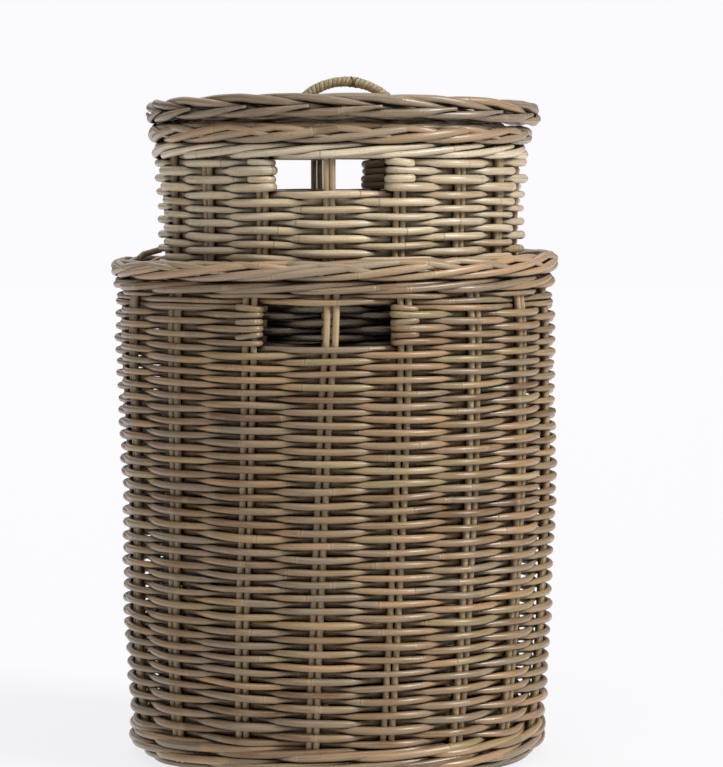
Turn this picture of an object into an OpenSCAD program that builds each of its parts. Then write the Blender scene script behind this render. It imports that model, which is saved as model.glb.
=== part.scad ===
// Nested round laundry baskets of woven rattan: a large open basket, a smaller one standing in it,
// and a loose lid with an arched handle. Millimetres, +Z up, the origin on the floor under the centre,
// and the hand-holds at the front (-Y) and the back (+Y).

/* [Outer basket] */
// Height of the outer basket, floor to the top of its rim
outer_h = 560; // [540:1:580]
// Outside radius of the outer basket's rolled rim
outer_rim_r = 252; // [251:1:255]
// Outside radius of the outer wall where it meets the rim
outer_top_r = 249; // [245:1:249]
// Outside radius of the outer wall at the floor
outer_bottom_r = 239; // [235:1:240]
// Thickness of the outer wall, from face to face of the weave
outer_wall_t = 20; // [19:0.5:22]
// Diameter of one stake of the outer basket
outer_stake_d = 6.4; // [5:0.1:7]

/* [Inner basket] */
// Height of the inner basket's rim above the floor
inner_top_z = 705; // [690:1:720]
// Outside radius of the inner basket's rolled rim
inner_rim_r = 215.5; // [213:0.5:217]
// Outside radius of the inner wall where it meets the rim
inner_top_r = 207.5; // [204:0.5:209]
// Outside radius of the inner wall at its foot
inner_bottom_r = 204; // [201:0.5:206]
// Thickness of the inner wall, from face to face of the weave
inner_wall_t = 18; // [17:0.5:20]
// Diameter of one stake of the inner basket
inner_stake_d = 6; // [4.5:0.1:6.5]

/* [Weave] */
// Number of stake pairs round each basket, odd so that one weaver can go round and round
stake_pairs = 17; // [17:17]
// Gap left between a stake and the weave on each side of it
weave_gap = 0.1; // [0.05:0.05:0.3]
// Gap left between one basket and what stands in or on it
rest_gap = 0.3; // [0.2:0.1:0.5]

/* [Hand-holds] */
// Height of the outer basket's hand-holds
outer_hold_h = 43; // [36:1:50]
// Height of the inner basket's hand-holds
inner_hold_h = 32; // [26:1:40]
// Stake pairs from the middle of a hand-hold to the post at its side
post_pairs = 1; // [1:1]
// Turns of cane round each post of an outer hand-hold
outer_turns = 6; // [4:1:6]
// Turns of cane round each post of an inner hand-hold
inner_turns = 4; // [3:1:4]

/* [Foot and base] */
// Height of the plaited foot under each wall
foot_h = 14; // [10:1:16]
// How far the foot is set in from the wall above it
foot_inset = 16; // [13:1:17]
// Width of the foot from its outer to its inner edge
foot_w = 20; // [16:1:20]
// Height of the thick band that starts each wall
upsett_h = 26; // [20:1:32]
// Height of the underside of a base above its foot
base_lift = 4; // [2:0.5:6]
// Thickness of a woven base
base_t = 14; // [13:0.5:18]
// Diameter of a base or lid stick
stick_d = 7; // [5:0.1:7.5]

/* [Bands and rims] */
// Height of the outer basket's rolled rim
outer_rim_h = 24; // [20:1:28]
// Width of the outer basket's rolled rim
outer_rim_w = 24; // [20:1:26]
// Height of the twisted band under the outer rim
outer_wale_h = 14; // [12:1:16]
// Height of the weave between the outer hand-holds and the band above them
outer_crown_h = 9; // [6:1:12]
// Height of the inner basket's rolled rim
inner_rim_h = 22; // [18:1:24]
// Width of the inner basket's rolled rim
inner_rim_w = 22; // [18:1:23]
// Height of the twisted band under the inner rim
inner_wale_h = 18; // [14:1:20]
// How far a twisted band stands out from the wall on each face
wale_proud = 2.5; // [1:0.5:4]

/* [Lid] */
// Outside radius of the lid
lid_r = 219.5; // [218:0.5:223]
// Height of the lid's plaited border
lid_border_h = 28; // [24:1:32]
// Width of the lid's plaited border
lid_border_w = 17; // [14:1:18]
// Gap between the inner basket's rim and the lid's border
lid_shadow = 4; // [2:0.5:6]
// Thickness of the lid's woven middle
lid_t = 15; // [13:0.5:18]
// Height of the ring under the lid that keeps it in place
seat_h = 14; // [10:1:18]
// Width of that ring
seat_w = 14; // [10:1:18]
// Play between that ring and the inner basket's rim
seat_play = 4; // [3:0.5:8]

/* [Handle] */
// Height of the handle's top above the floor
handle_top_z = 761; // [755:1:770]
// Radius of the handle's arc, to the outside of the wrapping
handle_r = 68; // [64:0.5:72]
// Diameter of the handle with its wrapping
handle_d = 11.6; // [10:0.2:14]
// Thickness of the cane wrapped round the handle
handle_cane = 2; // [1.5:0.1:2.5]

/* [Hidden] */

round_fn = 180;
rod_fn = 32;
end_gap = 0.2;
cross_r = 26;

// Stake pairs stand at equal steps from the one in the middle of the front hand-hold. The back
// hand-hold's middle pair is half a step past the opposite point.
front = -90;
pair_step = 360 / stake_pairs;
back_pair = ceil(stake_pairs / 2);
sides = [-1, 1];
faces = [front, front + back_pair * pair_step];

// The inner basket stands on the outer one's base.
inner_z = base_lift + base_t + rest_gap;

// A basket as a list: foot height, top height, wall radius at each, wall thickness, stake diameter.
OUTER = [0, outer_h, outer_bottom_r, outer_top_r, outer_wall_t, outer_stake_d];
INNER = [inner_z, inner_top_z, inner_bottom_r, inner_top_r, inner_wall_t, inner_stake_d];

function wall_t(b) = b[4];
function stake_d(b) = b[5];
function wall_r(b, z) = b[2] + (b[3] - b[2]) * (z - b[0]) / (b[1] - b[0]);
function mid_r(b, z) = wall_r(b, z) - wall_t(b) / 2;
function lean(b) = atan((b[3] - b[2]) / (b[1] - b[0]));
function skin_in(b, z) = mid_r(b, z) + stake_d(b) / 2 + weave_gap;
function skin_out(b, z) = mid_r(b, z) - stake_d(b) / 2 - weave_gap;

// Levels of each basket, from its foot up.
outer_wall_z = foot_h;
outer_weave_z = outer_wall_z + upsett_h;
outer_rim_z = outer_h - outer_rim_h;
outer_wale_z = outer_rim_z - outer_wale_h;
outer_crown_z = outer_wale_z - outer_crown_h;
outer_hold_z = outer_crown_z - outer_hold_h;
inner_wall_z = inner_z + foot_h;
inner_weave_z = inner_wall_z + upsett_h;
inner_rim_z = inner_top_z - inner_rim_h;
inner_wale_z = inner_rim_z - inner_wale_h;
inner_hold_z = inner_wale_z - inner_hold_h;

// Lid levels and the handle's arc.
lid_z = inner_top_z + rest_gap;
lid_top_z = lid_z + lid_t;
lid_border_z = inner_top_z + lid_shadow;
lid_disc_r = lid_r - lid_border_w;
seat_r = inner_rim_r - inner_rim_w - seat_play;
stitch_t = 1;
stitch_from = 6.5;
stitch_to = 15.5;
core_end = 89;
wrap_end = 80;
trim_h = 99;
handle_mid_z = handle_top_z - stitch_t - handle_r;
handle_arc_r = handle_r - handle_d / 2;
core_d = handle_d - 2 * handle_cane;

outer_cane = "#85705a";
outer_warm = "#a5865f";
inner_cane = "#9b8d78";
inner_pale = "#b3a793";
stake_cane = "#7a6a54";

// A ring with rounded edges.
module round_ring(r_in, r_out, z_a, z_b, edge) {
    rotate_extrude($fn = round_fn) {
        translate([r_in + edge, z_a]) square([r_out - r_in - 2 * edge, z_b - z_a]);
        translate([r_in, z_a + edge]) square([r_out - r_in, z_b - z_a - 2 * edge]);
        for (r = [r_in + edge, r_out - edge], z = [z_a + edge, z_b - edge])
            translate([r, z]) circle(r = edge, $fn = rod_fn);
    }
}

// A conical skin of weave on one face of the stakes, through the angle given.
module weave_skin(r_in_a, r_out_a, r_in_b, r_out_b, z_a, z_b, angle) {
    rotate_extrude(angle = angle, $fn = round_fn)
        polygon([[r_in_a, z_a], [r_out_a, z_a], [r_out_b, z_b], [r_in_b, z_b]]);
}

module outside_skin(b, z_a, z_b, angle = 360, proud = 0) {
    weave_skin(skin_in(b, z_a), wall_r(b, z_a) + proud, skin_in(b, z_b), wall_r(b, z_b) + proud,
        z_a, z_b, angle);
}

module inside_skin(b, z_a, z_b, angle = 360, proud = 0) {
    weave_skin(wall_r(b, z_a) - wall_t(b) - proud, skin_out(b, z_a),
        wall_r(b, z_b) - wall_t(b) - proud, skin_out(b, z_b), z_a, z_b, angle);
}

// Places its children on the middle of the wall, leaning with it, at one angle and height.
module on_wall(b, at, z) {
    rotate([0, 0, at]) translate([mid_r(b, z), 0, z]) rotate([0, lean(b), 0]) children();
}

// Two stakes side by side.
module stake_pair(b, at, z_a, z_b) {
    length = (z_b - z_a) / cos(lean(b)) - 2 * end_gap;
    on_wall(b, at, z_a)
        for (side = sides)
            translate([0, side * (stake_d(b) + weave_gap) / 2, end_gap])
                cylinder(h = length, d = stake_d(b), $fn = rod_fn);
}

// Every stake pair but those in the middle of the hand-holds.
module wall_stakes(b, z_a, z_b) {
    for (i = [1 : stake_pairs - 1])
        if (i != back_pair) stake_pair(b, front + i * pair_step, z_a, z_b);
}

// The sticks that a base or a lid is woven on: a bound cross in the middle, opened out into rays.
module stick_star(z, r) {
    translate([0, 0, z - stick_d / 2]) cylinder(h = stick_d, r = cross_r, $fn = round_fn);
    for (i = [0 : stake_pairs - 1])
        rotate([0, 0, front + i * pair_step]) translate([cross_r + end_gap, 0, z]) rotate([0, 90, 0])
            cylinder(h = r - cross_r - end_gap, d = stick_d, $fn = rod_fn);
}

// The weave under and over the sticks, as two discs.
module woven_disc(z, t, r) {
    layer = (t - stick_d) / 2 - weave_gap;
    for (low = [z, z + t - layer])
        translate([0, 0, low]) cylinder(h = layer, r = r, $fn = round_fn);
}

// The weave of one side of a basket, between the posts of its front and back hand-holds.
module side_weave(b, z_a, z_b, first_post, last_post) {
    clear = asin((2 * stake_d(b) + turn_d(b) + 1) / mid_r(b, z_a));
    sweep = (last_post - first_post) * pair_step - 2 * clear;
    rotate([0, 0, front + first_post * pair_step + clear]) {
        outside_skin(b, z_a, z_b, sweep);
        inside_skin(b, z_a, z_b, sweep);
    }
}

module right_side(b, z_a, z_b) { side_weave(b, z_a, z_b, post_pairs, back_pair - post_pairs); }

module left_side(b, z_a, z_b) {
    side_weave(b, z_a, z_b, back_pair + post_pairs, stake_pairs - post_pairs);
}

// Cane turned round a post fills the wall's thickness outside the stake.
function turn_d(b) = (wall_t(b) - stake_d(b)) / 2 - 2 * weave_gap;

// One turn of cane round a pair of stakes.
module post_turn(b) {
    bend_r = stake_d(b) / 2 + weave_gap + turn_d(b) / 2;
    half = (stake_d(b) + weave_gap) / 2;
    for (side = sides) {
        translate([0, side * half, 0]) rotate([0, 0, side > 0 ? 0 : 180])
            rotate_extrude(angle = 180, $fn = 48)
                translate([bend_r, 0]) circle(d = turn_d(b), $fn = rod_fn);
        translate([side * bend_r, -half, 0]) rotate([-90, 0, 0])
            cylinder(h = 2 * half, d = turn_d(b), $fn = rod_fn);
    }
}

// The turns on the four posts beside the hand-holds.
module turned_ends(b, z_a, z_b, turns) {
    pitch = (z_b - z_a) / turns;
    for (face = faces, side = sides, i = [0 : turns - 1])
        on_wall(b, face + side * post_pairs * pair_step, z_a + (i + 0.5) * pitch) post_turn(b);
}

// The rolled foot, set in under the wall and flat underneath.
module foot(b) {
    r = b[2] - foot_inset;
    round_ring(r - foot_w, r, b[0], b[0] + foot_h, 3);
}

module base_sticks(b) {
    stick_star(b[0] + base_lift + base_t / 2, b[2] - foot_inset - foot_w - end_gap);
}

module base_weave(b) {
    woven_disc(b[0] + base_lift, base_t, b[2] - foot_inset - foot_w - end_gap);
}

// The thick first rows, drawn in to the foot on the outside.
module upsett(b, z_a, z_b) {
    draw_in = foot_inset / 3;
    weave_skin(skin_in(b, z_a), wall_r(b, z_a) - draw_in + 2, skin_in(b, z_b), wall_r(b, z_b) + 1,
        z_a, z_b, 360);
    inside_skin(b, z_a, z_b);
}

// A twisted band, outside and inside the stakes.
module wale(b, z_a, z_b) {
    mid_z = (z_a + z_b) / 2;
    round_ring(skin_in(b, z_b), wall_r(b, mid_z) + wale_proud, z_a, z_b, 3);
    round_ring(wall_r(b, mid_z) - wall_t(b) - wale_proud, skin_out(b, z_a), z_a, z_b, 3);
}

// An arc of the handle with a round section, between two angles off the vertical, positive to +X.
module handle_arc(d_in, d_out, from, to) {
    translate([0, 0, handle_mid_z]) rotate([90, 0, 0]) rotate([0, 0, 90 - to])
        rotate_extrude(angle = to - from, $fn = round_fn) translate([handle_arc_r, 0])
            difference() {
                circle(d = d_out, $fn = rod_fn);
                if (d_in > 0) circle(d = d_in, $fn = rod_fn);
            }
}

// Everything above a level, to trim the handle where it meets the lid.
module above(z) {
    translate([-handle_r - handle_d, -handle_d, z])
        cube([2 * (handle_r + handle_d), 2 * handle_d, trim_h]);
}

module outer_foot() { color(outer_cane) foot(OUTER); }
module outer_base_sticks() { color(stake_cane) base_sticks(OUTER); }
module outer_base_weave() { color(outer_cane) base_weave(OUTER); }
module outer_upsett() { color(outer_cane) upsett(OUTER, outer_wall_z, outer_weave_z); }
module outer_stakes() { color(stake_cane) wall_stakes(OUTER, outer_wall_z, outer_rim_z); }
module outer_hold_stakes() {
    color(stake_cane) for (face = faces) stake_pair(OUTER, face, outer_wall_z, outer_rim_z);
}
module outer_weave_outside() { color(outer_cane) outside_skin(OUTER, outer_weave_z, outer_hold_z); }
module outer_weave_inside() { color(outer_cane) inside_skin(OUTER, outer_weave_z, outer_hold_z); }
module outer_side_left() { color(outer_cane) left_side(OUTER, outer_hold_z, outer_crown_z); }
module outer_side_right() { color(outer_cane) right_side(OUTER, outer_hold_z, outer_crown_z); }
module outer_turned_ends() {
    color(outer_warm) turned_ends(OUTER, outer_hold_z, outer_crown_z, outer_turns);
}
module outer_crown_rows() {
    color(outer_cane) {
        outside_skin(OUTER, outer_crown_z, outer_wale_z);
        inside_skin(OUTER, outer_crown_z, outer_wale_z);
    }
}
module outer_wale() { color(outer_warm) wale(OUTER, outer_wale_z, outer_rim_z); }
module outer_rim() {
    color(outer_warm) round_ring(outer_rim_r - outer_rim_w, outer_rim_r, outer_rim_z, outer_h, 9);
}

module inner_foot() { color(inner_cane) foot(INNER); }
module inner_base_sticks() { color(stake_cane) base_sticks(INNER); }
module inner_base_weave() { color(inner_cane) base_weave(INNER); }
module inner_upsett() { color(inner_cane) upsett(INNER, inner_wall_z, inner_weave_z); }
module inner_stakes() { color(stake_cane) wall_stakes(INNER, inner_wall_z, inner_rim_z); }
module inner_hold_stakes() {
    color(stake_cane) for (face = faces) stake_pair(INNER, face, inner_wall_z, inner_rim_z);
}
module inner_weave_outside() { color(inner_cane) outside_skin(INNER, inner_weave_z, inner_hold_z); }
module inner_weave_inside() { color(inner_cane) inside_skin(INNER, inner_weave_z, inner_hold_z); }
module inner_side_left() { color(inner_cane) left_side(INNER, inner_hold_z, inner_wale_z); }
module inner_side_right() { color(inner_cane) right_side(INNER, inner_hold_z, inner_wale_z); }
module inner_turned_ends() {
    color(inner_pale) turned_ends(INNER, inner_hold_z, inner_wale_z, inner_turns);
}
module inner_wale() { color(inner_pale) wale(INNER, inner_wale_z, inner_rim_z); }
module inner_rim() {
    color(outer_warm) round_ring(inner_rim_r - inner_rim_w, inner_rim_r, inner_rim_z, inner_top_z, 8);
}

// The rays beside the ends of the handle are notched to let it through.
module lid_sticks() {
    color(stake_cane) difference() {
        stick_star(lid_z + lid_t / 2, lid_disc_r - end_gap);
        handle_arc(0, core_d + 2 * rest_gap, -core_end, core_end);
    }
}
module lid_weave() {
    color(inner_cane) difference() {
        woven_disc(lid_z, lid_t, lid_disc_r - end_gap);
        handle_arc(0, core_d + 2 * weave_gap, -core_end, core_end);
    }
}
module lid_border() {
    color(outer_warm) round_ring(lid_disc_r, lid_r, lid_border_z, lid_border_z + lid_border_h, 7);
}
module lid_seat_ring() {
    color(inner_cane) round_ring(seat_r - seat_w, seat_r, lid_z - seat_h, lid_z, 4);
}
module lid_handle_core() {
    color(stake_cane) intersection() {
        handle_arc(0, core_d, -core_end, core_end);
        above(lid_z + end_gap);
    }
}
module lid_handle_wrap() {
    color(inner_pale) intersection() {
        handle_arc(core_d + 2 * weave_gap, handle_d, -wrap_end, wrap_end);
        above(lid_top_z);
    }
}
module lid_handle_stitch() {
    color(outer_warm)
        handle_arc(handle_d + 2 * weave_gap, handle_d + 2 * stitch_t, stitch_from, stitch_to);
}

outer_foot();
outer_base_sticks();
outer_base_weave();
outer_upsett();
outer_stakes();
outer_hold_stakes();
outer_weave_outside();
outer_weave_inside();
outer_side_left();
outer_side_right();
outer_turned_ends();
outer_crown_rows();
outer_wale();
outer_rim();
inner_foot();
inner_base_sticks();
inner_base_weave();
inner_upsett();
inner_stakes();
inner_hold_stakes();
inner_weave_outside();
inner_weave_inside();
inner_side_left();
inner_side_right();
inner_turned_ends();
inner_wale();
inner_rim();
lid_sticks();
lid_weave();
lid_border();
lid_seat_ring();
lid_handle_core();
lid_handle_wrap();
lid_handle_stitch();
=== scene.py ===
import math

import bpy
import numpy as np
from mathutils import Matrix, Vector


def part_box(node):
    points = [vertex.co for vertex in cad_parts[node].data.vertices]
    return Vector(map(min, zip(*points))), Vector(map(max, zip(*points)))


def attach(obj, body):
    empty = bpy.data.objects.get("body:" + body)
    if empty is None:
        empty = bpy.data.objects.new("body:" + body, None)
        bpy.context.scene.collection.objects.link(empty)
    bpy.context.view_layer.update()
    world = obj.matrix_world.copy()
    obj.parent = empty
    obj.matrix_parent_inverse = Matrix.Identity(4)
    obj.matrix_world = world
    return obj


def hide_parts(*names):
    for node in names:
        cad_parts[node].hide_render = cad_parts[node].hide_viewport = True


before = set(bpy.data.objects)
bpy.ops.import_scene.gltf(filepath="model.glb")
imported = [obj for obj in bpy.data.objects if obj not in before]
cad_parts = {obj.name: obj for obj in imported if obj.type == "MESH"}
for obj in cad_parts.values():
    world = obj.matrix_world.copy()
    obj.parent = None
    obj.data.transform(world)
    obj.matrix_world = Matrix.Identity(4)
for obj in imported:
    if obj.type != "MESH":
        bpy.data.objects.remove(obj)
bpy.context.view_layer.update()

MM = 0.001
rng = np.random.default_rng(20)

# The camera: distance and height in metres, angles in degrees.
CAM_DISTANCE = 3.70
CAM_HEIGHT = 0.661
CAM_AZIMUTH = 2.7
CAM_TURN = 0.41
CAM_PITCH = 3.80
CAM_LENS = 154.4

# The studio: an even surround and soft distant lights, so the floor has one tone all over.
# Each light: name, azimuth from the front towards +X and elevation in degrees, softness in
# degrees, strength and colour.
AMBIENT = 0.17
LIGHTS = [
    ("key", 66, 32, 22, 2.95, (1.0, 0.985, 0.955)),
    ("top", 10, 76, 70, 1.15, (1.0, 1.0, 1.0)),
    ("front", -30, 30, 40, 0.42, (0.98, 0.985, 1.0)),
    ("back", 195, 40, 60, 0.6, (1.0, 1.0, 1.0)),
]
# The floor is lit from under as well, so that the shadow on it stays faint.
FLOOR_GLOW = 0.8
FLOOR_TONE = (0.132, 0.13, 0.134, 1)
FLOOR_LIGHT = (0.985, 0.98, 1.0, 1)
FLOOR_HALF = 14
SURROUND_TONE = (0.965, 0.955, 1.0, 1)
AMBIENT_TONE = (0.95, 0.97, 1.0, 1)

# The weave: each basket has seventeen pairs of stakes, the first in the middle of the front
# hand-hold and the ninth in the middle of the back one.
PAIRS = 17
BACK_PAIR = 9
FRONT = -math.pi / 2
PAIR_STEP = 2 * math.pi / PAIRS
FLATNESS = 0.55

# A weaver going round and round climbs one row between these pairs, at the back.
SEAM_PAIR = 11
SEAM_LENGTH = 5


def make_camera():
    data = bpy.data.cameras.new("camera")
    data.lens = CAM_LENS
    data.clip_end = 50
    camera = bpy.data.objects.new("camera", data)
    bpy.context.scene.collection.objects.link(camera)
    azimuth = math.radians(CAM_AZIMUTH)
    camera.location = (
        CAM_DISTANCE * math.sin(azimuth),
        -CAM_DISTANCE * math.cos(azimuth),
        CAM_HEIGHT,
    )
    camera.rotation_euler = (
        math.radians(90 - CAM_PITCH),
        0,
        azimuth - math.radians(CAM_TURN),
    )
    bpy.context.scene.camera = camera


def soft_light(name, azimuth, elevation, softness, strength, colour):
    data = bpy.data.lights.new(name, "SUN")
    data.angle = math.radians(softness)
    data.energy = strength
    data.color = colour
    light = bpy.data.objects.new(name, data)
    bpy.context.scene.collection.objects.link(light)
    light.location = (0, 0, 3)
    light.rotation_euler = (math.radians(90 - elevation), 0, math.radians(azimuth))


def make_stage():
    """A pale floor, a white surround and soft lights, the strongest one to the right."""
    world = bpy.data.worlds.new("studio")
    world.use_nodes = True
    tree = world.node_tree
    shown = tree.nodes["Background"]
    shown.inputs["Color"].default_value = SURROUND_TONE
    shown.inputs["Strength"].default_value = 1.0
    ambient = tree.nodes.new("ShaderNodeBackground")
    ambient.inputs["Color"].default_value = AMBIENT_TONE
    ambient.inputs["Strength"].default_value = AMBIENT
    mix = tree.nodes.new("ShaderNodeMixShader")
    rays = tree.nodes.new("ShaderNodeLightPath")
    tree.links.new(rays.outputs["Is Camera Ray"], mix.inputs[0])
    tree.links.new(ambient.outputs[0], mix.inputs[1])
    tree.links.new(shown.outputs[0], mix.inputs[2])
    tree.links.new(mix.outputs[0], tree.nodes["World Output"].inputs[0])
    bpy.context.scene.world = world
    bpy.context.scene.view_settings.view_transform = "Standard"

    size = FLOOR_HALF
    mesh = bpy.data.meshes.new("floor")
    mesh.from_pydata(
        [(-size, -size, 0), (size, -size, 0), (size, size, 0), (-size, size, 0)],
        [],
        [(0, 1, 2, 3)],
    )
    floor = bpy.data.objects.new("floor", mesh)
    bpy.context.scene.collection.objects.link(floor)
    material = bpy.data.materials.new("pale_floor")
    material.use_nodes = True
    shader = material.node_tree.nodes["Principled BSDF"]
    shader.inputs["Base Color"].default_value = FLOOR_TONE
    shader.inputs["Roughness"].default_value = 0.9
    shader.inputs["Specular IOR Level"].default_value = 0.2
    shader.inputs["Emission Color"].default_value = FLOOR_LIGHT
    shader.inputs["Emission Strength"].default_value = FLOOR_GLOW
    floor.data.materials.append(material)

    for light in LIGHTS:
        soft_light(*light)


# ---------------------------------------------------------------- rods

class Bundle:
    """The rods of one piece, swept into one mesh with their own texture coordinates."""

    def __init__(self):
        self.verts, self.rod_co, self.seeds, self.ends = [], [], [], []
        self.loops, self.sizes, self.flat = [], [], []
        self.count = 0

    def rod(self, path, radius, ref, sides=10, thin=1.0):
        """Sweeps a rod along path. ref is a direction across it; thin squeezes it the other way."""
        path = np.asarray(path, float)
        n = len(path)
        radius = np.broadcast_to(np.asarray(radius, float), (n,))
        tangent = np.gradient(path, axis=0)
        tangent /= np.linalg.norm(tangent, axis=1)[:, None]
        ref = np.broadcast_to(np.asarray(ref, float), (n, 3))
        across = ref - (ref * tangent).sum(1)[:, None] * tangent
        across /= np.linalg.norm(across, axis=1)[:, None]
        other = np.cross(tangent, across)
        angle = np.arange(sides) / sides * 2 * math.pi
        ring = across[:, None] * np.cos(angle)[None, :, None]
        ring = ring + other[:, None] * (np.sin(angle) * thin)[None, :, None]
        points = path[:, None] + ring * radius[:, None, None]
        step = np.linalg.norm(np.diff(path, axis=0), axis=1)
        along = np.concatenate([[0], np.cumsum(step)])
        along = along + rng.uniform(0, 9)
        co = np.empty((n, sides, 3))
        co[:, :, 0] = along[:, None]
        co[:, :, 1] = np.cos(angle)[None] * radius[:, None]
        co[:, :, 2] = np.sin(angle)[None] * radius[:, None]
        base = self.count
        self.verts.append(points.reshape(-1, 3))
        self.rod_co.append(co.reshape(-1, 3))
        self.seeds.append(np.full(n * sides, rng.uniform()))
        self.count += n * sides
        rows = n - 1
        i = np.arange(rows)[:, None]
        j = np.arange(sides)[None, :]
        after = i + 1
        side = (j + 1) % sides
        quads = np.stack(
            [
                base + i * sides + j,
                base + i * sides + side,
                base + after * sides + side,
                base + after * sides + j,
            ],
            -1,
        ).reshape(-1)
        self.loops.append(quads)
        self.sizes.append(np.full(rows * sides, 4))
        self.flat.append(np.zeros(rows * sides, bool))
        self.ends.append(np.zeros(rows * sides))
        first = base + np.arange(sides)[::-1]
        last = base + (n - 1) * sides + np.arange(sides)
        self.loops += [first, last]
        self.sizes.append(np.full(2, sides))
        self.flat.append(np.ones(2, bool))
        self.ends.append(np.ones(2))

    def piece(self, name, body, material, slot, *nodes):
        """Builds the mesh, rides it on a body and stands it for CAD nodes."""
        verts = np.concatenate(self.verts)
        loops = np.concatenate(self.loops)
        sizes = np.concatenate(self.sizes)
        mesh = bpy.data.meshes.new(name)
        mesh.vertices.add(len(verts))
        mesh.vertices.foreach_set("co", verts.astype(np.float32).ravel())
        mesh.loops.add(len(loops))
        mesh.loops.foreach_set("vertex_index", loops.astype(np.int32))
        mesh.polygons.add(len(sizes))
        starts = np.concatenate([[0], np.cumsum(sizes)[:-1]])
        mesh.polygons.foreach_set("loop_start", starts.astype(np.int32))
        mesh.update(calc_edges=True)
        mesh.polygons.foreach_set("use_smooth", ~np.concatenate(self.flat))
        co = mesh.attributes.new("rod_co", "FLOAT_VECTOR", "POINT")
        co.data.foreach_set("vector", np.concatenate(self.rod_co).astype(np.float32).ravel())
        seed = mesh.attributes.new("rod_seed", "FLOAT", "POINT")
        seed.data.foreach_set("value", np.concatenate(self.seeds).astype(np.float32))
        end = mesh.attributes.new("rod_end", "FLOAT", "FACE")
        end.data.foreach_set("value", np.concatenate(self.ends).astype(np.float32))
        mesh.validate()
        mesh.materials.append(material)
        piece = bpy.data.objects.new(name, mesh)
        bpy.context.scene.collection.objects.link(piece)
        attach(piece, body)
        if nodes:
            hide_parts(*nodes)
        return piece


# The tip of a rod: how far it goes on past the cut and how thick it is there, in radii.
TIP_OUT = 0.22
TIP_THICK = 0.78


def ends_rounded(path, radius):
    """Adds a small rounding at both ends of an open rod; returns its path and radii."""
    path = np.asarray(path, float)
    radius = np.broadcast_to(np.asarray(radius, float), (len(path),)).copy()

    def tip(a, b, r):
        out = (a - b) / np.linalg.norm(a - b)
        return a + out * r * TIP_OUT

    head = tip(path[0], path[1], radius[0])
    tail = tip(path[-1], path[-2], radius[-1])
    path = np.vstack([head, path, tail])
    radius = np.concatenate([[radius[0] * TIP_THICK], radius, [radius[-1] * TIP_THICK]])
    return path, radius


def tapered(radius, count, head, tail, thin=0.4):
    """Radii of a rod cut at a slant: thin at the tip, full after a share of its length."""
    t = np.linspace(0, 1, count)
    scale = np.ones(count)
    if head:
        scale = np.minimum(scale, thin + (1 - thin) * smooth_step(t / head))
    if tail:
        scale = np.minimum(scale, thin + (1 - thin) * smooth_step((1 - t) / tail))
    return radius * scale


def polar(angle, r, z):
    """Points from angle, radius and height arrays."""
    angle, r, z = np.broadcast_arrays(angle, r, z)
    return np.stack([r * np.cos(angle), r * np.sin(angle), z], -1)


def wobble(angle, count, size):
    """A smooth closed random curve round the basket."""
    total = np.zeros_like(angle)
    for k in range(1, count + 1):
        total += rng.normal() * np.cos(k * angle + rng.uniform(0, 6.3)) / math.sqrt(count)
    return total * size


# ---------------------------------------------------------------- measures from the frame

def radius_of(node):
    lo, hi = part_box(node)
    return (hi[0] - lo[0]) / 2


def levels_of(node):
    lo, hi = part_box(node)
    return lo[2], hi[2]


# The wall turns in to the foot over this height.
TURN_IN_H = 20 * MM
WEAVER_R = 3.75 * MM


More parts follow.
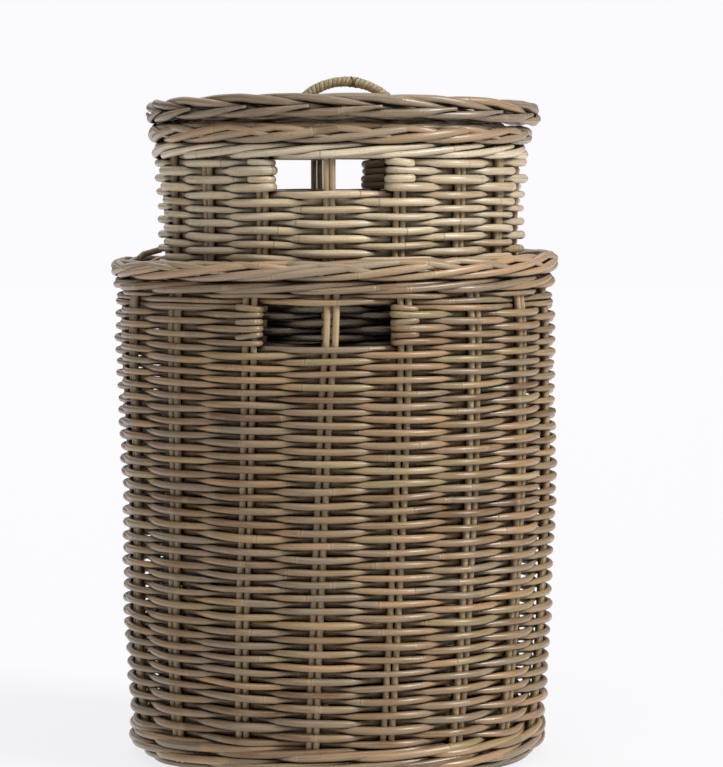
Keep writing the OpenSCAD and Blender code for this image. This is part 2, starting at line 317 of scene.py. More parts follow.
class Basket:
    """The measures of one basket: wall radii from the CAD, rod sizes in metres.

    rows counts those under and beside the hand-holds. twist, drift, hold_slope and posts turn
    the stakes, in degrees, and slant raises the rim at +X.
    """

    def __init__(self, prefix, stake_r, stake_apart, rows, twist, drift, slant, hold_slope, posts,
                 form):
        self.prefix = prefix
        self.body = prefix + "_basket"
        self.stake_r = stake_r
        self.stake_apart = stake_apart
        self.rows_low, self.rows_hold = rows
        self.form = np.array(form)
        self.hold_slope = math.radians(hold_slope)
        self.twist = math.radians(twist)
        self.uneven = [math.radians(x) for x in drift]
        self.slant = slant
        self.foot_z, self.foot_top = levels_of(prefix + "_foot")
        self.foot_r = radius_of(prefix + "_foot")
        self.wall_z, self.upsett_top = levels_of(prefix + "_upsett")
        self.upsett_r = radius_of(prefix + "_upsett") - 1 * MM
        self.hold_z = levels_of(prefix + "_weave_outside")[1]
        self.hold_r = radius_of(prefix + "_weave_outside")
        self.hold_top = levels_of(prefix + "_side_left")[1]
        self.wale_z, self.wale_top = levels_of(prefix + "_wale")
        self.rim_z, self.top = levels_of(prefix + "_rim")
        self.rim_r = radius_of(prefix + "_rim")
        jitter = rng.normal(size=PAIRS) * math.radians(0.5)
        jitter[[-1, 0, 1, BACK_PAIR - 1, BACK_PAIR, BACK_PAIR + 1]] = 0
        jitter[[-1, 1]] = np.radians(posts)
        self.jitter = np.append(jitter, jitter[0])

    def angle(self, u, z):
        """The angle of a place u pair steps round from the front, at a height."""
        u, z = np.broadcast_arrays(np.asarray(u, float), np.asarray(z, float))
        turn = u * PAIR_STEP
        both, spread = self.uneven
        shift = both * np.sin(turn) ** 2 + spread * np.sin(turn)
        shift = shift + np.interp(u % PAIRS, np.arange(PAIRS + 1), self.jitter)
        low = np.clip((self.hold_z - z) / (self.hold_z - self.wall_z), 0, 1)
        return FRONT + turn + shift - self.twist * low

    def form_at(self, z, column):
        """How far the wall swells (1) or leans to +X (2) at a height, in metres."""
        share = (z - self.foot_z) / (self.top - self.foot_z)
        return np.interp(share, self.form[:, 0], self.form[:, column]) * MM

    def out_r(self, z):
        """Outside radius of the wall at a height; the first rows turn in to the foot."""
        slope = (self.hold_r - self.upsett_r) / (self.hold_z - self.upsett_top)
        wall = self.hold_r + (z - self.hold_z) * slope + self.form_at(z, 1)
        turn = np.clip((self.foot_z + TURN_IN_H - z) / TURN_IN_H, 0, 1)
        return wall - turn**2 * (wall - self.foot_r)

    def mid_r(self, z):
        return self.out_r(z) - self.stake_r - 2 * WEAVER_R

    def settle(self, path):
        """A basket made by hand leans a little, and its top is higher on one side."""
        rise = np.clip((path[:, 2] - self.hold_top) / (self.top - self.hold_top), 0, 1)
        path[:, 0] += self.form_at(path[:, 2], 2) * np.abs(path[:, 0]) / self.rim_r
        path[:, 2] += self.slant * rise * path[:, 0] / self.rim_r
        return path


def swing(x):
    """Over and under, from -1 to 1, a little flatter than a cosine."""
    return np.tanh(FLATNESS * x) / math.tanh(FLATNESS)


def smooth_step(x):
    x = np.clip(x, 0, 1)
    return x * x * (3 - 2 * x)


def row_drift(basket, angle, z):
    """How rows wander together, by up to a couple of millimetres."""
    slow = np.sin(3 * angle + 40 * z + len(basket.prefix))
    quick = np.sin(5 * angle - 27 * z + 1.7)
    return (0.8 * slow + 0.5 * quick) * MM


# ---------------------------------------------------------------- pieces of a basket

STEPS = 11
# Rods are thicker than the rows are apart, and pressed together where they pass each other.
CROWDING = 1.09
SQUEEZE = 0.05


def spiral_rows(basket, edges, parity):
    """One weaver going round and round between the edges of its rows, as a list of rods.

    It starts and ends tapered, so the rows begin and finish level.
    """
    edges = np.asarray(edges)
    turns = len(edges) - 1
    middle = (edges[1:] + edges[:-1]) / 2
    half = (edges[1:] - edges[:-1]) / 2
    travel = np.arange(-SEAM_LENGTH * STEPS, turns * PAIRS * STEPS + 1) / STEPS
    turn = np.clip(np.floor(travel / PAIRS), -1, turns - 1).astype(int)
    climb = smooth_step((travel - turn * PAIRS - (PAIRS - SEAM_LENGTH)) / SEAM_LENGTH)
    now = np.clip(turn, 0, turns - 1)
    after = np.clip(turn + 1, 0, turns - 1)
    z = middle[now] * (1 - climb) + middle[after] * climb
    radius = half[now] * (1 - climb) + half[after] * climb
    first = turn < 0
    radius = np.where(first, half[0] * climb, radius)
    z = np.where(first, edges[0] + radius, z)
    last = turn == turns - 1
    radius = np.where(last, half[-1] * (1 - climb), radius)
    z = np.where(last, edges[-1] - radius, z)
    radius = np.clip(radius * CROWDING, 0.5 * MM, None)

    u = travel + SEAM_PAIR
    angle = basket.angle(u, z)
    weave = swing(np.cos(math.pi * (u + parity)))
    z = z + row_drift(basket, angle, z)

    rods = []
    start = 0
    inside = np.flatnonzero(weave < -0.999)
    while start < len(travel) - 1:
        length = int(rng.uniform(0.8, 1.9) * PAIRS * STEPS)
        stops = inside[inside > start + length]
        stop = stops[0] if len(stops) and stops[0] < len(travel) - 3 * STEPS else len(travel) - 1
        part = slice(max(start - 2, 0), min(stop + 3, len(travel)))
        a = angle[part]
        r_rod = radius[part] * (1 + 0.05 * rng.normal()) * (1 + 0.05 * wobble(a, 14, 1.0))
        r_rod = r_rod * (1 - SQUEEZE * (1 - weave[part] ** 2))
        depth = basket.stake_r + np.maximum(r_rod, 0.8 * WEAVER_R) - 0.1 * MM
        r = basket.mid_r(z[part]) + depth * weave[part] + wobble(a, 14, 0.4 * MM)
        height = z[part] + wobble(a, 16, 0.55 * MM)
        tail = np.clip((np.arange(len(a)) - len(a) + 5) / 4, 0, 1)
        r = r - tail * 3 * MM
        rods.append((basket.settle(polar(a, r, height)), r_rod))
        start = stop
    return rods


def side_row(bundle, basket, z, high, index, first, last):
    """One weaver between the hand-holds, turned round a post at each end."""
    r_rod = high / 2 * 1.06 * (1 + 0.08 * rng.normal())
    depth = basket.stake_r + r_rod
    mid = basket.mid_r(z)
    half = basket.stake_apart / 2
    pair = np.linspace(first, last, (last - first) * STEPS + 1)
    angle = basket.angle(pair, z)
    offset = depth * swing(np.cos(math.pi * (pair + index)))
    height = z + row_drift(basket, angle, z)

    def turn(at, outward):
        sign = 1 if (at + index) % 2 == 0 else -1
        beta = np.linspace(math.pi / 2, -math.pi / 2, 11)
        round_t = half + depth * np.cos(beta)
        round_q = sign * depth * np.sin(beta)
        back_t = np.linspace(half - 3 * MM, -half - 7 * MM, 5)
        back_q = -sign * depth * np.array([1, 1, 1, 0.93, 0.75])
        t = np.concatenate([[half * 0.5], round_t, back_t])
        q = np.concatenate([[sign * depth], round_q, back_q])
        place = basket.angle(at, z) + outward * t / mid
        tilt = rng.normal() * 1.1 * MM * np.sin(np.linspace(0, 4, len(t)))
        return place, q, z + row_drift(basket, place, z) + tilt

    a0, q0, z0 = turn(first, -1)
    a1, q1, z1 = turn(last, 1)
    angle = np.concatenate([a0[::-1], angle, a1])
    offset = np.concatenate([q0[::-1], offset, q1])
    height = np.concatenate([z0[::-1], height, z1])
    path, radius = ends_rounded(basket.settle(polar(angle, mid + offset, height)), r_rod)
    bundle.rod(path, radius, (0, 0, 1))


def stake_pair(bundle, basket, index, z_a, z_b, slope=0.0):
    """Two stakes side by side, following the wall; slope moves their tops along it."""
    z = np.linspace(z_a, z_b, 40)
    start = basket.hold_z - 70 * MM
    at = basket.angle(index, z) + slope * smooth_step((z - start) / (basket.hold_top - start))
    for side in (-1, 1):
        lean = rng.normal() * 0.5 * MM * np.sin(np.linspace(0, 3, len(z)) + rng.uniform(0, 6))
        shift = side * basket.stake_apart / 2 + lean
        mid = basket.mid_r(z)
        radius = basket.stake_r * (1 + 0.04 * rng.normal())
        path = basket.settle(polar(at + shift / mid, mid, z))
        bundle.rod(path, radius, polar(at, 1.0, 0.0))


def wale_ring(bundle, basket, z, height, rod_r, proud=0.0):
    """Three rods twisted round the stakes: each passes over two pairs and under one, and rises."""
    mid_r = basket.mid_r(z)
    for k in range(PAIRS):
        u = np.linspace(-1.1, 2.6, 48)
        angle = basket.angle(k + u + 0.05 * rng.normal(), z)
        out = np.tanh(4 * (1.0 - np.abs(u - 0.55)))
        rise = np.sin(np.clip((u - 0.62) / 1.0, -1, 1) * math.pi / 2)
        r_rod = rod_r * (1 + 0.06 * rng.normal())
        level = z + rise * (height / 2 - rod_r) + rng.normal() * 0.3 * MM
        over = np.clip(out, 0, 1) * (proud - 1.6 * MM * rise)
        path = polar(angle, mid_r + (basket.stake_r + r_rod) * out + over, level)
        bundle.rod(basket.settle(path), r_rod, (0, 0, 1), sides=12)


def rope_ring(bundle, settle, mid_r, z, wide, high, rod_r, tips, strands, start=-150, end=170):
    """A rolled border: rods wound round a ring, rising on the outside to the right."""
    turn = strands / tips * 2 * math.pi
    for k in range(tips):
        phi = np.radians(np.linspace(start, end, 44))
        spread = (phi - math.radians(start)) / (2 * math.pi)
        angle = FRONT + (k + 0.1 * rng.normal()) / tips * 2 * math.pi + spread * turn
        r_rod = rod_r * (1 + 0.06 * rng.normal())
        proud = MM * (0.4 * rng.normal() - 1.5 * np.sin(phi))
        r = mid_r + (wide / 2 - rod_r + proud) * np.cos(phi)
        level = z + (high / 2 - rod_r) * np.sin(phi) + wobble(angle, 3, 0.5 * MM)
        r_rod = tapered(r_rod, len(angle), 0.1, 0.1)
        bundle.rod(settle(polar(angle, r, level)), r_rod, (0, 0, 1), sides=12)


def crown_arcs(bundle, settle, r_top, z_top, rod_r, tips, reach):
    """Rods that come over the top of a border and dip in behind its outside strands."""
    for k in range(tips):
        u = np.linspace(0, 1, 30)
        angle = FRONT + (k + 0.45 + 0.15 * rng.normal()) / tips * 2 * math.pi + u * reach
        r = r_top + MM * smooth_path([0, 0.25, 0.6, 1], [-9, -1, 4.5, 2], u)
        level = z_top - rod_r + MM * smooth_path([0, 0.25, 0.6, 1], [-6, 0, -3.2, -12], u)
        r_rod = tapered(rod_r * (1 + 0.06 * rng.normal()), len(u), 0.2, 0.3)
        bundle.rod(settle(polar(angle, r, level)), r_rod, (0, 0, 1), sides=12)


def smooth_path(knots_u, knots_v, u):
    """A smooth curve through a few knots."""
    values = np.interp(u, knots_u, knots_v)
    kernel = np.hanning(9)[1:-1]
    kernel /= kernel.sum()
    return np.convolve(np.pad(values, len(kernel) // 2, mode="edge"), kernel, "valid")


def crossed_sticks(bundle, z, reach, rod_r, apart):
    """Nine sticks laid across each other in the middle and opened out into rays."""
    half = apart * 2.5
    groups = ((0, 5, 0.0), (1, 4, math.pi / 2))
    ray = 0
    for group, count, turn in groups:
        for k in range(count):
            lane = k - (count - 1) / 2
            legs = []
            for side in (-1, 1):
                s = np.linspace(0, 1, 14)
                end = lane * PAIR_STEP
                x = side * (half + (reach * math.cos(end) - half) * s)
                y = lane * apart + (reach * math.sin(end) - lane * apart) * s
                leg = np.stack([x, y], -1)
                # One arm is cut short, which leaves an odd number of rays.
                if ray == PAIRS:
                    leg = leg[:1] + np.array([[0.0, 0.0], [side * apart, 0.0]])
                ray += 1
                legs.append(leg[::-1] if side < 0 else leg)
            flat = np.vstack(legs)
            across = np.hypot(flat[:, 0], flat[:, 1])
            lift = rod_r * (1 if group == 0 else -1) * np.clip(1.6 - across / (half * 1.3), 0, 1)
            base = FRONT + turn
            c, s = math.cos(base), math.sin(base)
            path = np.stack(
                [flat[:, 0] * c - flat[:, 1] * s, flat[:, 0] * s + flat[:, 1] * c, z + lift],
                -1,
            )
            bundle.rod(path, rod_r, (0, 0, 1))


def woven_disc(bundle, z, r_in, r_out, stick_r, rod_r, sides=8):
    """A spiral of weavers over and under the rays, from the middle out."""
    pitch = 2 * rod_r * 0.99
    turns = (r_out - rod_r - r_in) / pitch
    steps = 8
    travel = np.arange(int(turns * PAIRS * steps) + 1) / steps
    r = r_in + pitch * travel / PAIRS
    angle = FRONT + travel * PAIR_STEP
    fade = np.clip(0.35 + r / r_out, 0, 1)
    lift = (stick_r + rod_r) * fade * swing(np.cos(math.pi * travel))
    start = 0
    while start < len(travel) - 1:
        stop = min(start + int(rng.uniform(1.2, 2.2) * PAIRS * steps), len(travel) - 1)
        if len(travel) - stop < PAIRS * steps / 2:
            stop = len(travel) - 1
        part = slice(start, stop + 1)
        a = angle[part]
        r_rod = rod_r * (1 + 0.05 * rng.normal())
        path = polar(a, r[part] + wobble(a, 5, 0.2 * MM), z + lift[part])
        bundle.rod(path, r_rod, (0, 0, 1), sides=sides)
        start = stop


# ---------------------------------------------------------------- materials

def srgb(r, g, b):
    """A linear colour from 8-bit display values."""
    def one(v):
        v /= 255
        return v / 12.92 if v <= 0.04045 else ((v + 0.055) / 1.055) ** 2.4
    return (one(r), one(g), one(b), 1)


class Nodes:
    """Short names for adding and joining shader nodes."""

    def __init__(self, material):
        self.tree = material.node_tree

    def add(self, kind, **settings):
        node = self.tree.nodes.new(kind)
        for key, value in settings.items():
            setattr(node, key, value)
        return node

    def join(self, source, target):
        self.tree.links.new(source, target)

    def value(self, kind, a, b=None, c=None, clamp=False):
        node = self.add("ShaderNodeMath", operation=kind, use_clamp=clamp)
        for i, x in enumerate((a, b, c)):
            if x is None:
                continue
            if isinstance(x, (int, float)):
                node.inputs[i].default_value = x
            else:
                self.join(x, node.inputs[i])
        return node.outputs[0]

    def scaled(self, vector, scale):
        node = self.add("ShaderNodeVectorMath", operation="MULTIPLY")
        self.join(vector, node.inputs[0])
        node.inputs[1].default_value = scale
        return node.outputs[0]

    def noise(self, vector, scale, detail=3.0, rough=0.55):
        node = self.add("ShaderNodeTexNoise")
        self.join(vector, node.inputs["Vector"])
        node.inputs["Scale"].default_value = scale
        node.inputs["Detail"].default_value = detail
        node.inputs["Roughness"].default_value = rough
        return node.outputs["Fac"]

    def mix(self, fac, a, b, blend="MIX"):
        node = self.add("ShaderNodeMix", data_type="RGBA", blend_type=blend)
        for socket, x in ((node.inputs[0], fac), (node.inputs[6], a), (node.inputs[7], b)):
            if isinstance(x, (int, float, tuple)):
                socket.default_value = x
            else:
                self.join(x, socket)
        return node.outputs[2]

    def ramp(self, fac, stops):
        node = self.add("ShaderNodeValToRGB")
        ramp = node.color_ramp
        while len(ramp.elements) < len(stops):
            ramp.elements.new(0.5)
        for element, (place, colour) in zip(ramp.elements, stops):
            element.position = place
            element.color = colour
        self.join(fac, node.inputs["Fac"])
        return node.outputs["Color"]


def crevices(n, shade_strength, reach):
    """How unshaded a place is: painted shade, dark brown in the crevices between rods and in
    hollows, found by ambient occlusion.
    """
    near = n.add("ShaderNodeAmbientOcclusion", samples=6)
    near.inputs["Distance"].default_value = reach
    unshaded = n.value("MULTIPLY_ADD", near.outputs["AO"], 3.2, -1.2, clamp=True)
    return n.value("MULTIPLY_ADD", unshaded, shade_strength, 1 - shade_strength)


# Display colours of the marks on the cane, and of the painted shade in its crevices.
# The first colour is painted shade, not a mark on the cane.
CREVICE_SHADE = (20, 12, 7)
GREY_WASH = (168, 158, 146)
SPECK = (66, 48, 34)
STAIN = (92, 68, 46)
NODE_HALO = (196, 174, 140)
NODE_RING = (58, 42, 30)
CUT_PALE = (206, 186, 150)
CUT_DARK = (126, 98, 66)


def rattan(name, palette, rough=0.3, internode=0.16, streak=0.24, grey=0.25, node_ring=1.0,
           shade_strength=1.0, reach=0.011):
    """Round cane: a tone for each length between nodes, fibres, dark node rings, weathering, and
    painted shade in the crevices.
    """
    material = bpy.data.materials.new(name)
    material.use_nodes = True
    n = Nodes(material)
    shader = material.node_tree.nodes["Principled BSDF"]

    co = n.add("ShaderNodeAttribute", attribute_name="rod_co").outputs["Vector"]
    seed = n.add("ShaderNodeAttribute", attribute_name="rod_seed").outputs["Fac"]
    end = n.add("ShaderNodeAttribute", attribute_name="rod_end").outputs["Fac"]
    split = n.add("ShaderNodeSeparateXYZ")
    n.join(co, split.inputs[0])
    along = split.outputs[0]
    place = n.value("ADD", n.value("DIVIDE", along, internode), n.value("MULTIPLY", seed, 91.7))

    def cells(feature):
        node = n.add("ShaderNodeTexVoronoi", voronoi_dimensions="1D", feature=feature)
        n.join(place, node.inputs["W"])
        node.inputs["Scale"].default_value = 1.0
        return node

    tone = n.add("ShaderNodeSeparateColor")
    n.join(cells("F1").outputs["Color"], tone.inputs[0])
    edge = cells("DISTANCE_TO_EDGE").outputs["Distance"]
    gap = n.value("MULTIPLY", edge, internode * 1000)

    blend = n.value(
        "ADD", n.value("MULTIPLY", seed, 0.55), n.value("MULTIPLY", tone.outputs[0], 0.45)
    )
    blotch = n.noise(n.scaled(co, (22, 120, 120)), 1.0, 3)
    blend = n.value("ADD", blend, n.value("MULTIPLY_ADD", blotch, 0.36, -0.18), clamp=True)
    stops = [(i / (len(palette) - 1), srgb(*c)) for i, c in enumerate(palette)]
    colour = n.ramp(blend, stops)

    fibre = n.noise(n.scaled(co, (9, 1500, 1500)), 1.0, 4, 0.6)
    shade = n.ramp(fibre, [(0.3, (1 - streak * 2, 1 - streak * 2.2, 1 - streak * 2.5, 1)),
                           (0.7, (1 + streak * 0.5, 1 + streak * 0.5, 1 + streak * 0.5, 1))])
    colour = n.mix(1.0, colour, shade, "MULTIPLY")

    wash = n.noise(n.scaled(co, (35, 260, 260)), 1.0, 4, 0.65)
    wash = n.value("MULTIPLY", n.value("MULTIPLY_ADD", wash, 3.2, -1.35, clamp=True), grey)
    colour = n.mix(wash, colour, srgb(*GREY_WASH))

    speck = n.noise(n.scaled(co, (420, 900, 900)), 1.0, 2, 0.5)
    speck = n.value("MULTIPLY_ADD", speck, 9.0, -5.6, clamp=True)
    colour = n.mix(n.value("MULTIPLY", speck, 0.6), colour, srgb(*SPECK))
    stain = n.noise(n.scaled(co, (60, 420, 420)), 1.0, 5, 0.7)
    stain = n.value("MULTIPLY_ADD", stain, 4.5, -2.6, clamp=True)
    colour = n.mix(n.value("MULTIPLY", stain, 0.5), colour, srgb(*STAIN))

    halo = n.value("SUBTRACT", 1.0, n.value("DIVIDE", gap, 4.0), clamp=True)
    colour = n.mix(n.value("MULTIPLY", halo, 0.3 * node_ring), colour, srgb(*NODE_HALO))
    ring = n.value("SUBTRACT", 1.0, n.value("DIVIDE", gap, 1.3), clamp=True)
    uneven = n.value("MULTIPLY_ADD", n.noise(n.scaled(co, (0, 300, 300)), 1.0, 2), 1.6, -0.1)
    mark = n.value("MULTIPLY", n.value("MULTIPLY", ring, uneven), 0.75 * node_ring, clamp=True)
    colour = n.mix(mark, colour, srgb(*NODE_RING))

    # Painted shade: the crevices between rods are painted dark brown where ambient occlusion finds
    # neighbours close by.
    colour = n.mix(crevices(n, shade_strength, reach), srgb(*CREVICE_SHADE), colour)

    pores = n.noise(n.scaled(co, (0, 2600, 2600)), 1.0, 1)
    cut = n.mix(pores, srgb(*CUT_PALE), srgb(*CUT_DARK))
    colour = n.mix(end, colour, cut)
    n.join(colour, shader.inputs["Base Color"])

    gloss = n.value("MULTIPLY_ADD", blotch, 0.3, rough - 0.15)
    gloss = n.value("ADD", gloss, n.value("MULTIPLY", end, 0.3), clamp=True)
    n.join(gloss, shader.inputs["Roughness"])
    shader.inputs["Specular IOR Level"].default_value = 0.55

    lift = n.value("MULTIPLY_ADD", fibre, 0.35, n.value("MULTIPLY", halo, 0.8))
    lift = n.value("SUBTRACT", lift, n.value("MULTIPLY", ring, 1.2))
    lift = n.value("ADD", lift, n.value("MULTIPLY", wash, 0.25))
    bump = n.add("ShaderNodeBump")
    bump.inputs["Strength"].default_value = 0.55
    bump.inputs["Distance"].default_value = 0.0006
    n.join(lift, bump.inputs["Height"])
    n.join(bump.outputs[0], shader.inputs["Normal"])
    return material


OUTER_TONES = [
    (96, 68, 44), (138, 108, 74), (156, 130, 96), (140, 122, 98), (174, 138, 98),
    (152, 136, 94), (186, 160, 120),
]
INNER_TONES = [
    (168, 143, 112), (204, 181, 148), (222, 204, 172), (199, 186, 161), (235, 211, 170),
    (213, 198, 160),
]
RIM_TONES = [
    (130, 101, 74), (171, 142, 109), (165, 148, 124), (190, 154, 115), (173, 154, 122),
    (202, 177, 140),
]
PALE_TONES = [(209, 194, 164), (233, 220, 192), (225, 209, 181), (246, 231, 201)]
LID_TONES = [
    (106, 82, 60), (146, 124, 98), (142, 128, 108), (170, 140, 104), (150, 136, 112),
    (172, 152, 124),
]
STAKE_TONES = [(156, 126, 88), (188, 162, 122), (176, 154, 118), (198, 170, 128), (186, 170, 134)]
CANE_TONES = [(150, 134, 96), (178, 164, 124), (162, 136, 108), (168, 158, 124)]
STITCH_TONES = [(96, 66, 46), (128, 92, 66)]

make_camera()
make_stage()

MATERIAL = {
    "outer": rattan("outer_weavers", OUTER_TONES),
    "inner": rattan("inner_weavers", INNER_TONES, grey=0.35),
    "rim": rattan("rim_rods", RIM_TONES, internode=0.22),
    "pale": rattan("pale_rods", PALE_TONES, grey=0.4, internode=0.25),
    # The stakes get a lighter painted shade in their crevices.
    "stake": rattan("stake_rods", STAKE_TONES, rough=0.4, shade_strength=0.2),
    "lid": rattan("lid_rods", LID_TONES, grey=0.35),
    # Painted shade: the inner basket's lower bands, inside the outer one, are painted dark by
    # ambient occlusion reaching 0.11 m.
    "deep_shade": rattan("deep_shade_weavers", INNER_TONES, grey=0.35, reach=0.11),
    "cane": rattan("split_cane", CANE_TONES, rough=0.5, node_ring=0.0),
    "stitch": rattan("stitch_cane", STITCH_TONES, node_ring=0.0, grey=0.05),
}

# Each wall's form made by hand: share of its height, swell and lean to +X in millimetres.
OUTER_FORM = [
    (0, -6, 0), (0.06, -6, 0), (0.14, -1.1, 0), (0.26, 1.9, -0.4), (0.40, 2.1, 0.8),
    (0.54, 1.8, 2.4), (0.64, 2.2, 0.8), (0.77, 1.5, -2), (0.875, 1, -2.8), (0.945, -3.4, -4),
    (1, -3.4, -3.7),
]
INNER_FORM = [
    (0, 0, 0), (0.5, -1, 2.5), (0.83, -2.1, 4), (0.9, 0.2, 3.6), (0.93, 0.5, 3.2),
    (0.955, -0.8, 2.5), (1, -0.8, 2.5),
]
OUTER = Basket(
    "outer", stake_r=3.8 * MM, stake_apart=9.0 * MM, rows=(60, 6), twist=4.4, drift=(-3.6, 0),
    slant=4.5 * MM, hold_slope=1.0, posts=(1.3, -0.4), form=OUTER_FORM,
)
INNER = Basket(
    "inner", stake_r=3.5 * MM, stake_apart=7.3 * MM, rows=(75, 4), twist=3.0, drift=(0, 2.5),
    slant=-1.8 * MM, hold_slope=0.0, posts=(0, 0), form=INNER_FORM,
)


def row_edges(z_a, z_b, count, grow):
    """The edges of rows between two levels; the rods grow thinner upward, and vary a little."""
    weights = np.linspace(1 + grow, 1 - grow, count) * (1 + 0.05 * rng.normal(size=count))
    total = np.concatenate([[0], np.cumsum(weights)])
    return z_a + total / total[-1] * (z_b - z_a)


def weave_wall(basket, material, slot, bands, grow, side_top):
    """The thick first rounds, then the rows under the hand-holds in bands, then the side rows."""
    name = basket.prefix
    bundle = Bundle()
    rounds = 2
    high = (basket.upsett_top - basket.wall_z) / rounds
    for k in range(rounds):
        z = basket.wall_z + (k + 0.5) * high
        wale_ring(bundle, basket, z, high + 3 * MM, 4.6 * MM)
    bundle.piece(name + "_upsett_rounds", basket.body, material, slot, name + "_upsett")

    edges = row_edges(basket.upsett_top, basket.hold_z, basket.rows_low, grow)
    rods = spiral_rows(basket, edges, basket.rows_low % 2)
    limits = np.linspace(basket.upsett_top, basket.hold_z, bands + 1)
    levels = [path[:, 2].mean() for path, _ in rods]
    homes = [min(int(np.searchsorted(limits, z)) - 1, bands - 1) for z in levels]
    for number in range(bands):
        bundle = Bundle()
        for home, (path, radius) in zip(homes, rods):
            if home == number:
                bundle.rod(path, radius, (0, 0, 1))
        # All bands of the inner basket except the top one get this material with deeper painted
        # shade.
        deep_shade = basket.body == "inner_basket" and number < bands - 1
        bundle.piece(
            f"{name}_wall_rows_{number + 1}",
            basket.body,
            MATERIAL["deep_shade"] if deep_shade else material,
            slot,
            name + "_weave_outside",
            name + "_weave_inside",
        )

    pitch = (side_top - basket.hold_z) / basket.rows_hold
    for side, first, last, parity in (
        ("right", 1, BACK_PAIR - 1, 1),
        ("left", BACK_PAIR + 1, PAIRS - 1, 0),
    ):
        bundle = Bundle()
        for k in range(basket.rows_hold):
            z = basket.hold_z + (k + 0.5) * pitch
            side_row(bundle, basket, z, pitch, k + parity, first, last)
        bundle.piece(f"{name}_side_rows_{side}", basket.body, material, slot,
                     f"{name}_side_{side}", name + "_turned_ends")


def stand_stakes(basket, z_a, z_b):
    name = basket.prefix
    bundle, crossing = Bundle(), Bundle()
    for k in range(PAIRS):
        target = crossing if k in (0, BACK_PAIR) else bundle
        stake_pair(target, basket, k, z_a, z_b, basket.hold_slope if k == 0 else 0.0)
    bundle.piece(name + "_stake_rods", basket.body, MATERIAL["stake"], "stake_rattan",
                 name + "_stakes")
    crossing.piece(name + "_hold_stake_rods", basket.body, MATERIAL["stake"], "stake_rattan",
                   name + "_hold_stakes")


# The plaits are rounder than their CAD rings, so they stand higher to clear what is below.
FOOT_RAISE = {"outer": 1 * MM, "inner": 2.8 * MM}
FOOT_W = 18 * MM


def weave_base(basket, material, slot):
    name = basket.prefix
    lo, hi = levels_of(name + "_base_weave")
    r = radius_of(name + "_base_weave")
    middle = (lo + hi) / 2
    sticks = Bundle()
    crossed_sticks(sticks, middle, r, 3.4 * MM, 9 * MM)
    sticks.piece(name + "_base_stick_rods", basket.body, MATERIAL["stake"], "stake_rattan",
                 name + "_base_sticks")
    weave = Bundle()
    woven_disc(weave, middle, 32 * MM, r, 3.2 * MM, 3.3 * MM)
    weave.piece(name + "_base_rows", basket.body, material, slot, name + "_base_weave")
    foot = Bundle()
    z_mid = (basket.foot_z + basket.foot_top) / 2 + FOOT_RAISE[name]
    high = basket.foot_top - basket.foot_z
    rope_ring(foot, level, basket.foot_r - FOOT_W / 2, z_mid, FOOT_W, high, 4.2 * MM, 18, 4)
    foot.piece(name + "_foot_plait", basket.body, material, slot, name + "_foot")


def level(path):
    """Leaves a ring as it is, where a rim would settle."""
    return path


def finish_top(basket, wale_material, wale_slot, wale, rim, rim_tips, rim_strands):
    """The twisted band and the rolled rim: (lift, height, rod radius) and (height, rod radius)."""
    name = basket.prefix
    bundle = Bundle()
    lift, high, rod_r = wale
    z = (basket.wale_z + basket.wale_top) / 2 + lift
    wale_ring(bundle, basket, z, high, rod_r, 1.2 * MM)
    bundle.piece(name + "_wale_rods", basket.body, wale_material, wale_slot, name + "_wale")
    bundle = Bundle()
    high, rod_r = rim
    z = basket.top + 1 * MM - high / 2
    wide = 24 * MM
    middle = basket.rim_r - wide / 2 - 0.4 * MM
    rope_ring(bundle, basket.settle, middle, z, wide, high, rod_r, rim_tips, rim_strands)
    crown_arcs(bundle, basket.settle, basket.rim_r - 9 * MM, basket.top + 1.5 * MM, rod_r * 0.95,
               rim_tips, math.radians(30))
    if basket.body == "outer_basket":
        # One rod was cut long and stands up a little inside the rim.
        stub = polar(
            np.radians([166, 162, 159]),
            basket.rim_r - MM * np.array([14, 13, 29.5]),
            basket.top + MM * np.array([-6, -1.5, 4]),
        )
        path, radius = ends_rounded(stub, 3.6 * MM)
        bundle.rod(path, radius, (0, 0, 1), sides=12)
    bundle.piece(name + "_rim_plait", basket.body, MATERIAL["rim"], "rim_rattan", name + "_rim")


# Outer basket.
weave_wall(OUTER, MATERIAL["outer"], "outer_rattan", 5, 0.07, OUTER.hold_top)
crown = Bundle()
for path, radius in spiral_rows(OUTER, row_edges(OUTER.hold_top, OUTER.wale_z + 4 * MM, 2, 0), 1):
    crown.rod(path, radius, (0, 0, 1))
crown.piece("outer_crown_row", OUTER.body, MATERIAL["outer"], "outer_rattan", "outer_crown_rows")
stand_stakes(OUTER, OUTER.foot_z + 5 * MM, OUTER.rim_z + 4 * MM)
weave_base(OUTER, MATERIAL["outer"], "outer_rattan")
finish_top(OUTER, MATERIAL["outer"], "rim_rattan", (3 * MM, 15.5 * MM, 4.1 * MM),
           (23 * MM, 4.25 * MM), 19, 5)

# Inner basket.
weave_wall(INNER, MATERIAL["inner"], "inner_rattan", 5, 0, INNER.hold_top + 3 * MM)
stand_stakes(INNER, INNER.foot_z + 5 * MM, INNER.rim_z + 4 * MM)
weave_base(INNER, MATERIAL["inner"], "inner_rattan")
finish_top(INNER, MATERIAL["pale"], "inner_rattan", (3 * MM, 19.5 * MM, 4.4 * MM),
           (22 * MM, 4.6 * MM), 18, 4)

# ---------------------------------------------------------------- lid

LID_LO, LID_HI = levels_of("lid_border")
LID_R = radius_of("lid_border")
DISC_LO, DISC_HI = levels_of("lid_weave")
DISC_R = radius_of("lid_weave")


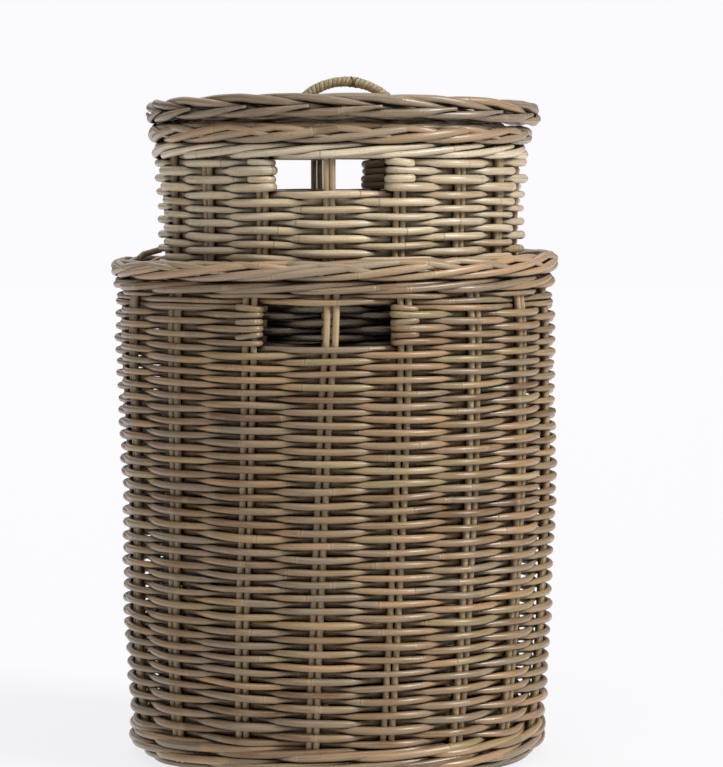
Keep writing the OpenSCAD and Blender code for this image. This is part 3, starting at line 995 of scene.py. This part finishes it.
# How the lid's border lies: clear of the rim at the front and back, drooping to it at the
# sides, tilted with the rim and moved to +X. Its disc and ring stand above the rim's top rods.
BORDER_LIFT = 2.5
BORDER_DROOP = 6.5
BORDER_TILT = 1.2
BORDER_SHIFT = 6 * MM
BORDER_SPREAD = 2.5 * MM
DISC_RAISE = 3.3 * MM
RING_RAISE = 2.5 * MM


def sag(path):
    """Lays the lid's border on the rim."""
    across = path[:, 0] / LID_R
    droop = BORDER_DROOP * np.abs(across) ** 2.5
    path[:, 2] += (BORDER_LIFT - droop - BORDER_TILT * across) * MM
    path[:, 0] += BORDER_SHIFT
    return path


# The course of one border rod: steps round the lid, radius from its edge and height, in mm.
COURSE_U = [-0.6, 0, 0.5, 1, 1.5, 2, 2.5, 3, 3.5, 4, 4.25, 4.7]
COURSE_R = [-30, -24, -19, -14, -8, -5, -11, -14.5, -10, -5, -3.8, -2.8]
COURSE_Z = [13, 16, 18.5, 21, 21.3, 17.5, 12.5, 7, 4.5, 5.5, 7.5, 12]


def lid_border(bundle):
    """Each rod comes over the top to the right, dips in behind the next ones and ends outside."""
    rod = 4.5 * MM
    tips = 18
    edge = LID_R + BORDER_SPREAD
    for k in range(tips):
        u = np.linspace(-0.6, 4.7, 96)
        angle = FRONT + (k + 0.08 * rng.normal() + u) * 2 * math.pi / tips
        r = edge + MM * smooth_path(COURSE_U, COURSE_R, u)
        z = LID_LO + MM * smooth_path(COURSE_U, COURSE_Z, u)
        r_rod = tapered(rod * (1 + 0.06 * rng.normal()), len(u), 0.05, 0.13)
        path, radius = ends_rounded(sag(polar(angle, r, z)), r_rod)
        bundle.rod(path, radius, (0, 0, 1), sides=12)


# The handle stands a little to one side of the lid's middle and is wider than its CAD arc.
HANDLE_SHIFT = 8.4 * MM
HANDLE_WIDER = 1.06
WRAP_PITCH = 4.6 * MM


def lid_handle():
    """A rod bent into an arch, wrapped in split cane, with a crossed stitch near the top."""
    lo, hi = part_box("lid_handle_wrap")
    top = hi[2]
    half_wide = (hi[0] - lo[0]) / 2
    thick = (hi[1] - lo[1]) / 2
    rise = top - lo[2]
    # The arc's outside radius from its width and rise.
    outer = (half_wide**2 + rise**2) / (2 * rise)
    core_r = 3.7 * MM
    arc_r = outer - thick
    mid_z = top - outer
    limit = math.acos((DISC_HI - mid_z) / arc_r) + 0.03

    def arc(phi):
        x = HANDLE_SHIFT + arc_r * np.sin(phi) * HANDLE_WIDER
        return np.stack([x, 0 * phi, mid_z + arc_r * np.cos(phi)], -1)

    core = Bundle()
    deep = math.acos(min(1, (DISC_LO + 1 * MM - mid_z) / arc_r))
    core.rod(arc(np.linspace(-deep, deep, 60)), core_r, (0, 1, 0))
    core.piece("lid_handle_rod", "lid", MATERIAL["stake"], "stake_rattan", "lid_handle_core")

    wrap = Bundle()
    turns = int(2 * limit * arc_r / WRAP_PITCH)
    for part in range(2):
        t = np.linspace(0, 1, turns * 14)
        phi = -limit + 2 * limit * t
        spin = 2 * math.pi * (turns / 2 * t + part * 0.5)
        base = arc(phi)
        out = np.stack([np.sin(phi), 0 * phi, np.cos(phi)], -1)
        side = np.array([0, 1, 0])
        reach = thick - 0.9 * MM + 0.25 * MM * np.sin(9 * phi + part)
        ring = out * np.cos(spin)[:, None] + side * np.sin(spin)[:, None]
        path = base + ring * reach[:, None]
        forward = np.stack([np.cos(phi), 0 * phi, -np.sin(phi)], -1)
        wrap.rod(path, 2.45 * MM, forward, sides=10, thin=0.36)
    wrap.piece("lid_handle_cane", "lid", MATERIAL["cane"], "split_cane", "lid_handle_wrap")

    stitch = Bundle()
    for lean in (-1, 1):
        t = np.linspace(-0.62, 0.62, 24)
        phi = 0.145 + lean * t * 0.085
        spin = t * 2.0 - math.pi / 2
        out = np.stack([np.sin(phi), 0 * phi, np.cos(phi)], -1)
        ring = out * np.cos(spin)[:, None] + np.array([0, 1, 0]) * np.sin(spin)[:, None]
        path = arc(phi) + ring * (thick + 0.35 * MM)
        path, radius = ends_rounded(path, 0.95 * MM)
        stitch.rod(path, radius, (1, 0, 0), sides=8, thin=0.6)
    stitch.piece("lid_handle_cross", "lid", MATERIAL["stitch"], "split_cane", "lid_handle_stitch")


border = Bundle()
lid_border(border)
border.piece("lid_border_plait", "lid", MATERIAL["lid"], "rim_rattan", "lid_border")

sticks = Bundle()
lid_mid = (DISC_LO + DISC_HI) / 2 + DISC_RAISE
crossed_sticks(sticks, lid_mid, DISC_R + 6 * MM, 3.4 * MM, 9 * MM)
sticks.piece("lid_stick_rods", "lid", MATERIAL["stake"], "stake_rattan", "lid_sticks")

weave = Bundle()
# The lid is woven flatter than its sticks are thick, so that it clears the rim.
woven_disc(weave, lid_mid, 32 * MM, DISC_R, 1.7 * MM, 3.5 * MM, sides=10)
weave.piece("lid_rows", "lid", MATERIAL["inner"], "inner_rattan", "lid_weave")

seat = Bundle()
seat_lo, seat_hi = levels_of("lid_seat_ring")
seat_r = radius_of("lid_seat_ring")
SEAT_W = 14 * MM
seat_z = (seat_lo + seat_hi) / 2 + RING_RAISE
rope_ring(seat, level, seat_r - SEAT_W / 2, seat_z, SEAT_W, seat_hi - seat_lo, 3.4 * MM, 18, 4)
seat.piece("lid_seat_rope", "lid", MATERIAL["inner"], "inner_rattan", "lid_seat_ring")

lid_handle()
